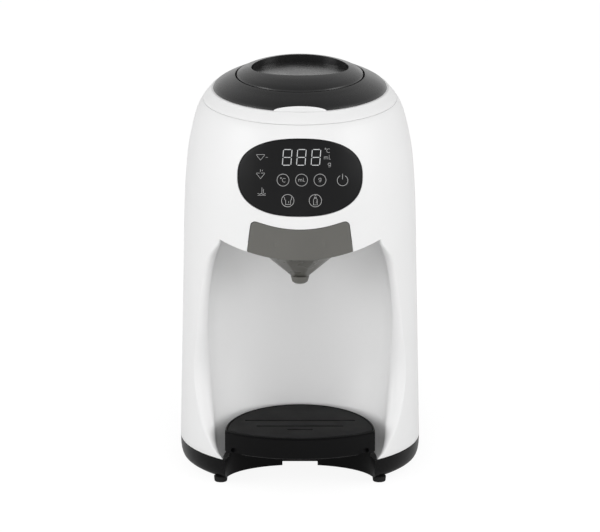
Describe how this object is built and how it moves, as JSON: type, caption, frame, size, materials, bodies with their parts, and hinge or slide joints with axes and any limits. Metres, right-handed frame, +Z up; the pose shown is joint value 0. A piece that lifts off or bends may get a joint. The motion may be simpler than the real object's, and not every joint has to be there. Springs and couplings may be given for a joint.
{
  "type": "baby formula maker",
  "caption": "Countertop formula maker: round column with touch panel, lidded powder container, slide-out funnel, bottle bay with drip tray, and a lift-off rear water tank.",
  "frame": {"origin": "centre of the whole machine's footprint, on the surface that the feet stand on", "axes": "+Z up; -Y is the front, where the touch panel, the funnel drawer and the bottle bay are; +X is to the right of a viewer who faces the front"},
  "size_m": [0.1768, 0.2638, 0.3038],
  "materials": {
    "white_shell": "satin gloss",
    "charcoal_plastic": "satin",
    "black_plastic": "satin",
    "panel_gloss": "gloss",
    "taupe_plastic": "fine matte",
    "smoke_plastic": "smoky translucent",
    "tank_plastic": "clear tinted",
    "clear_plastic": "clear",
    "grey_plastic": "matte",
    "rubber_foot": "matte",
    "rubber_cable": "matte",
    "silicone": "matte",
    "steel": "brushed",
    "circuit_board": "solder mask"
  },
  "bodies": {
    "housing": {"front_shell": "white_shell", "rear_shell": "white_shell", "top_ring": "white_shell", "tank_deck": "white_shell", "base_pan": "black_plastic", "foot_front_left": "rubber_foot", "foot_front_right": "rubber_foot", "foot_rear_left": "rubber_foot", "foot_rear_right": "rubber_foot", "base_screw_1": "steel", "base_screw_2": "steel", "base_screw_3": "steel", "base_screw_4": "steel", "lid_hinge_pin": "steel", "panel_lens": "panel_gloss", "display_board": "circuit_board", "digit_module": "black_plastic", "display_cable": "rubber_cable", "funnel_rail_left": "grey_plastic", "funnel_rail_right": "grey_plastic", "funnel_sensor": "black_plastic", "deck": "grey_plastic", "powder_container": "clear_plastic", "container_lid": "grey_plastic", "dosing_cover": "grey_plastic", "gear_motor": "steel", "powder_chute": "grey_plastic", "water_nozzle": "grey_plastic", "outlet_hose": "silicone", "water_heater": "steel", "heater_bracket": "steel", "thermostat": "black_plastic", "pump_hose": "silicone", "water_pump": "grey_plastic", "pump_mount": "rubber_foot", "inlet_hose": "silicone", "tank_coupler": "grey_plastic", "coupler_seal": "silicone", "power_board": "circuit_board", "power_inlet": "black_plastic"},
    "lid": {"lid": "charcoal_plastic", "lid_liner": "grey_plastic", "lid_seal": "silicone"},
    "drawer": {"funnel_holder": "taupe_plastic", "funnel": "smoke_plastic"},
    "tray": {"drip_tray": "black_plastic"},
    "tray_plate": {"tray_plate": "black_plastic"},
    "tank": {"water_tank": "tank_plastic", "tank_hinge_pin": "steel", "valve_spring": "steel"},
    "tank_lid": {"tank_lid": "charcoal_plastic"},
    "tank_valve": {"tank_valve": "rubber_foot"},
    "tank_float": {"tank_float": "white_shell"},
    "rotor": {"dosing_wheel": "taupe_plastic", "stirrer": "taupe_plastic", "drive_gear": "grey_plastic"},
    "pinion": {"motor_pinion": "steel"}
  },
  "joints": [
    {"name": "lid_hinge", "type": "hinge", "parent": "housing", "child": "lid", "pos_m": [0, 0.0239, 0.283], "axis": [-1, 0, 0], "range_deg": [0, 75]},
    {"name": "drawer_slide", "type": "slide", "parent": "housing", "child": "drawer", "axis": [0, -1, 0], "range_m": [0, 0.07]},
    {"name": "tray_slide", "type": "slide", "parent": "housing", "child": "tray", "axis": [0, -1, 0], "range_m": [0, 0.06]},
    {"name": "tray_plate_lift", "type": "slide", "parent": "tray", "child": "tray_plate", "axis": [0, 0, 1], "range_m": [0, 0.03]},
    {"name": "tank_lift", "type": "slide", "parent": "housing", "child": "tank", "axis": [0, 0, 1], "range_m": [0, 0.045]},
    {"name": "tank_lid_hinge", "type": "hinge", "parent": "tank", "child": "tank_lid", "pos_m": [0, 0.1298, 0.2242], "axis": [-1, 0, 0], "range_deg": [0, 95]},
    {"name": "valve_slide", "type": "slide", "parent": "tank", "child": "tank_valve", "axis": [0, 0, 1], "range_m": [-0.0025, 0], "deforming": ["valve_spring"]},
    {"name": "float_slide", "type": "slide", "parent": "tank", "child": "tank_float", "axis": [0, 0, 1], "range_m": [0, 0.03]},
    {"name": "rotor_spin", "type": "hinge", "parent": "housing", "child": "rotor", "pos_m": [0, -0.0436, 0.2205], "axis": [0, 0, 1], "continuous": true},
    {"name": "pinion_spin", "type": "hinge", "parent": "housing", "child": "pinion", "pos_m": [0, -0.0124, 0.2088], "axis": [0, 0, 1], "continuous": true}
  ],
  "couplings": [
    {"joint": "valve_slide", "follows": "tank_lift", "ratio": -0.0555},
    {"joint": "pinion_spin", "follows": "rotor_spin", "ratio": -3}
  ]
}
